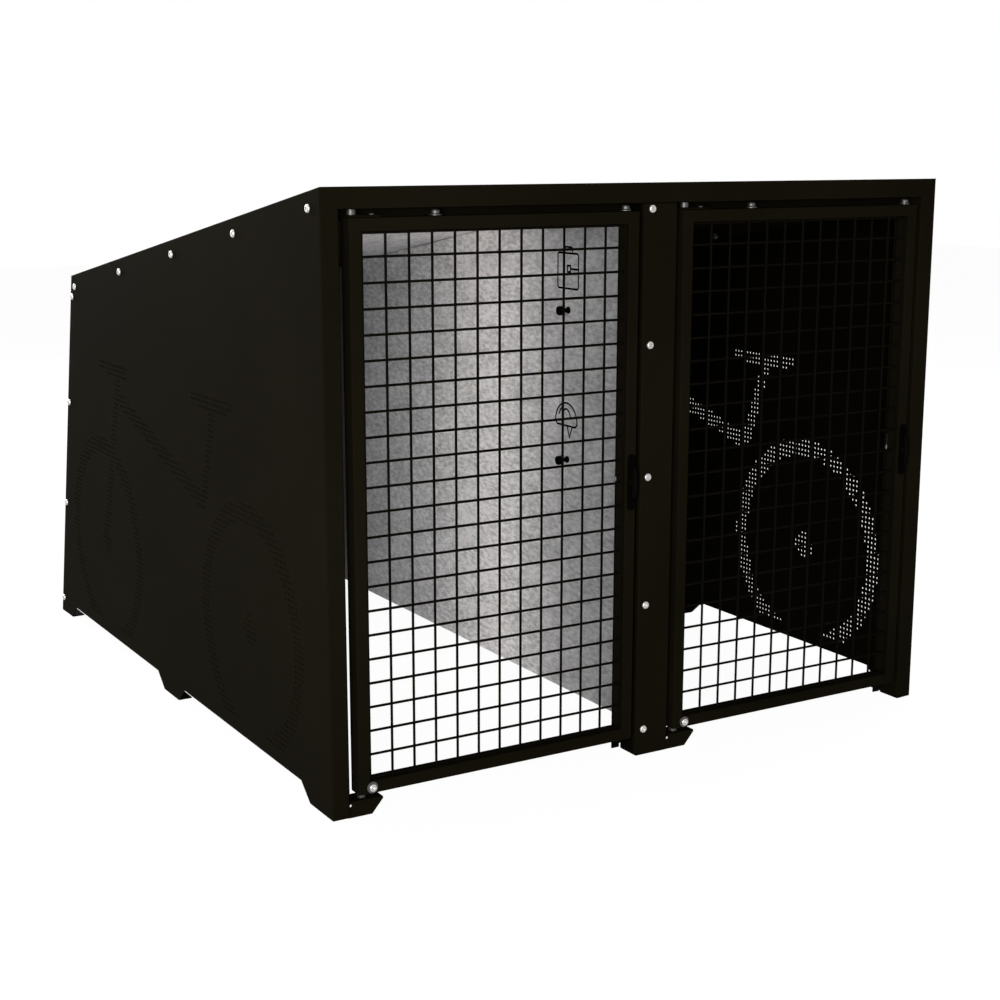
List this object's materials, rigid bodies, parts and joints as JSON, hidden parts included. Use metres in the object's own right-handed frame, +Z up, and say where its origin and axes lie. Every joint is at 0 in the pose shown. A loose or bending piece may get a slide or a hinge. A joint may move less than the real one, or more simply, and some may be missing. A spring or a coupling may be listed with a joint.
{
  "type": "bicycle locker",
  "caption": "Free-standing sheet-steel bicycle locker with side-by-side bays, sloping roof and rear, and welded-mesh doors on pivots with quarter-turn latches.",
  "frame": {"origin": "on the ground, under the middle of the object's box", "axes": "+Z up, +Y from the doors towards the low rear end, +X to the right for someone who faces the doors"},
  "size_m": [1.571, 1.8654, 1.25],
  "materials": {
    "powder_coat": "near-black fine-textured powder coat on folded sheet steel",
    "galvanised_sheet": "bare galvanised sheet, mottled mid grey",
    "stainless_steel": "bright stainless steel, lightly turned",
    "black_plastic": "satin black"
  },
  "bodies": {
    "root": {"side_panel_left": "powder_coat", "side_panel_right": "powder_coat", "roof_panel": "powder_coat", "rear_panel": "powder_coat", "centre_post": "powder_coat", "partition_panel": "galvanised_sheet", "hinge_bracket_left": "powder_coat", "hinge_bracket_right": "powder_coat", "side_bolt_left_1": "stainless_steel", "side_bolt_left_2": "stainless_steel", "side_bolt_left_3": "stainless_steel", "side_bolt_left_4": "stainless_steel", "side_bolt_left_5": "stainless_steel", "side_bolt_left_6": "stainless_steel", "side_bolt_left_7": "stainless_steel", "side_bolt_left_8": "stainless_steel", "side_bolt_left_9": "stainless_steel", "side_bolt_right_1": "stainless_steel", "side_bolt_right_2": "stainless_steel", "side_bolt_right_3": "stainless_steel", "side_bolt_right_4": "stainless_steel", "side_bolt_right_5": "stainless_steel", "side_bolt_right_6": "stainless_steel", "side_bolt_right_7": "stainless_steel", "side_bolt_right_8": "stainless_steel", "side_bolt_right_9": "stainless_steel", "post_bolt_1": "stainless_steel", "post_bolt_2": "stainless_steel", "post_bolt_3": "stainless_steel", "post_bolt_4": "stainless_steel", "post_bolt_5": "stainless_steel", "bag_peg_1": "black_plastic", "bag_peg_2": "black_plastic", "lower_pivot_left": "stainless_steel", "upper_pivot_left": "stainless_steel", "lower_pivot_right": "stainless_steel", "upper_pivot_right": "stainless_steel"},
    "left_door": {"door_frame_left": "powder_coat", "door_mesh_left": "powder_coat", "pivot_strap_left": "powder_coat", "strap_screw_left": "stainless_steel", "lift_stop_left_1": "stainless_steel", "lift_stop_left_2": "stainless_steel", "pivot_bolt_left": "stainless_steel", "lock_plate_left": "black_plastic"},
    "left_latch": {"latch_handle_left": "black_plastic", "latch_cam_left": "stainless_steel", "cam_nut_left": "stainless_steel"},
    "right_door": {"door_frame_right": "powder_coat", "door_mesh_right": "powder_coat", "pivot_strap_right": "powder_coat", "strap_screw_right": "stainless_steel", "lift_stop_right_1": "stainless_steel", "lift_stop_right_2": "stainless_steel", "pivot_bolt_right": "stainless_steel", "lock_plate_right": "black_plastic"},
    "right_latch": {"latch_handle_right": "black_plastic", "latch_cam_right": "stainless_steel", "cam_nut_right": "stainless_steel"}
  },
  "joints": [
    {"name": "left_door_swing", "type": "hinge", "parent": "root", "child": "left_door", "pos_m": [-0.7075, -0.89435, 0.6], "axis": [0, 0, -1], "range_deg": [0, 90]},
    {"name": "left_latch_turn", "type": "hinge", "parent": "left_door", "child": "left_latch", "pos_m": [-0.067, -0.9145, 0.621], "axis": [0, 1, 0], "range_deg": [0, 90]},
    {"name": "right_door_swing", "type": "hinge", "parent": "root", "child": "right_door", "pos_m": [0.0725, -0.89435, 0.6], "axis": [0, 0, -1], "range_deg": [0, 90]},
    {"name": "right_latch_turn", "type": "hinge", "parent": "right_door", "child": "right_latch", "pos_m": [0.713, -0.9145, 0.621], "axis": [0, 1, 0], "range_deg": [0, 90]}
  ]
}
